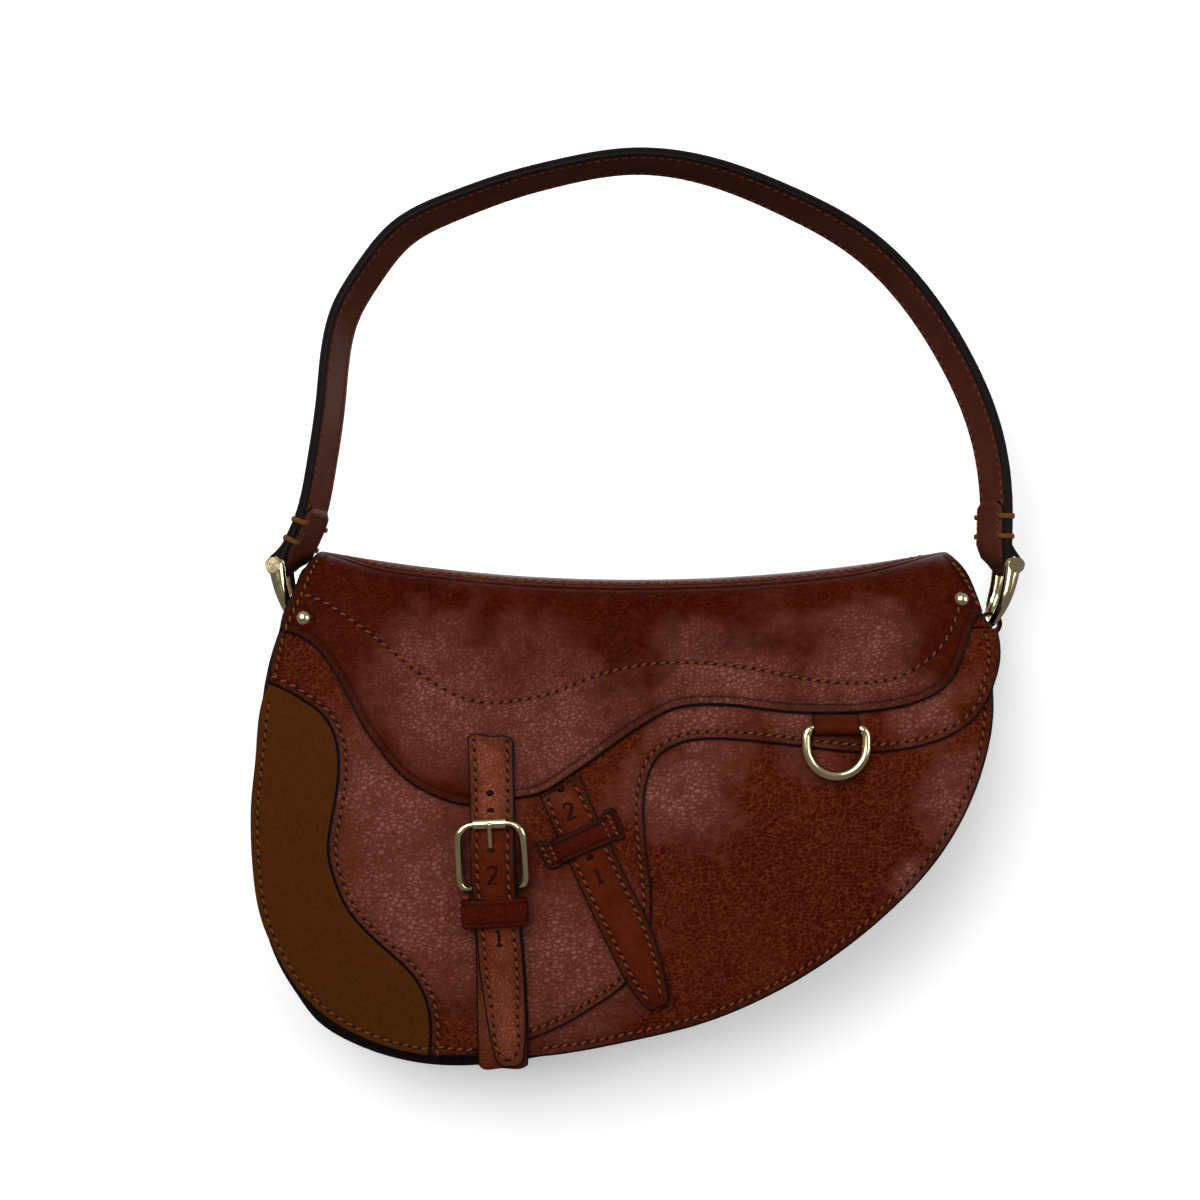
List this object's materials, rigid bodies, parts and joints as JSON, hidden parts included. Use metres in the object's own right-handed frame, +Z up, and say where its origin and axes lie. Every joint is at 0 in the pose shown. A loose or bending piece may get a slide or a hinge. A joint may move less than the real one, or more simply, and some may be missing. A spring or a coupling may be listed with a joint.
{
  "type": "saddle handbag",
  "caption": "Saddle-shaped leather handbag with a fold-over flap, rolled top, buckled strap, D-ring and a stiff top handle on two shackles.",
  "frame": {"origin": "the hang point, at the inner top of the handle", "axes": "+Z up, +Y towards the back panel, so the flap faces -Y, and +X to the right seen from the front"},
  "size_m": [0.3015, 0.0728, 0.3585],
  "materials": {
    "cognac_leather": "grained cognac leather with painted edges",
    "strap_leather": "smooth tan leather",
    "keeper_leather": "smooth dark red-brown leather",
    "suede": "olive-brown suede",
    "handle_leather": "smooth dark brown leather",
    "lining_cloth": "brown woven lining",
    "stiffener": "hidden stiffener sheet",
    "pale_gold": "polished pale gold plate",
    "magnet": "plated magnet disc"
  },
  "bodies": {
    "handle": {"handle_strap": "handle_leather", "handle_lining": "handle_leather", "shackle_left": "pale_gold", "shackle_right": "pale_gold", "shackle_pin_left": "pale_gold", "shackle_pin_right": "pale_gold"},
    "bag": {"back_panel": "cognac_leather", "front_panel": "cognac_leather", "gusset": "cognac_leather", "pocket_lining": "lining_cloth", "roll_lining": "lining_cloth", "roll_board": "cognac_leather", "seat_roll": "cognac_leather", "back_strip": "cognac_leather", "side_tab_left": "cognac_leather", "side_tab_right": "cognac_leather", "panel_magnet": "magnet", "rivet_left": "pale_gold", "rivet_right": "pale_gold", "rivet_burr_left": "pale_gold", "rivet_burr_right": "pale_gold"},
    "flap": {"flap_lining": "lining_cloth", "flap_board": "stiffener", "flap_magnet": "magnet", "flap_base": "cognac_leather", "suede_panel": "suede", "skirt": "cognac_leather", "seat": "cognac_leather", "d_ring_tab": "strap_leather", "billet_strap": "strap_leather", "buckle_strap": "strap_leather", "buckle_frame": "pale_gold", "side_strap": "strap_leather", "side_keeper": "keeper_leather"},
    "d_ring": {"d_ring": "pale_gold"},
    "roller": {"buckle_roller": "pale_gold"},
    "prong": {"buckle_prong": "pale_gold"},
    "keeper": {"buckle_keeper": "keeper_leather"}
  },
  "joints": [
    {"name": "bag_swing", "type": "hinge", "parent": "handle", "child": "bag", "pos_m": [0, 0, -0.16981], "axis": [1, 0, 0], "range_deg": [-30, 30]},
    {"name": "flap_open", "type": "hinge", "parent": "bag", "child": "flap", "pos_m": [0, -0.0247, -0.183], "axis": [-1, 0, 0], "range_deg": [0, 120]},
    {"name": "d_ring_swing", "type": "hinge", "parent": "flap", "child": "d_ring", "pos_m": [0.07333, -0.02839, -0.22169], "axis": [-1, 0, 0], "range_deg": [0, 135]},
    {"name": "roller_spin", "type": "hinge", "parent": "flap", "child": "roller", "pos_m": [-0.05974, -0.03392, -0.25791], "axis": [0.9986, 0, 0.0523], "continuous": true},
    {"name": "prong_tilt", "type": "hinge", "parent": "flap", "child": "prong", "pos_m": [-0.05845, -0.03066, -0.28252], "axis": [0.9986, 0, 0.0523], "range_deg": [0, 10]},
    {"name": "keeper_slide", "type": "slide", "parent": "flap", "child": "keeper", "axis": [0.0523, 0.0454, -0.9976], "range_m": [0, 0.01]}
  ]
}
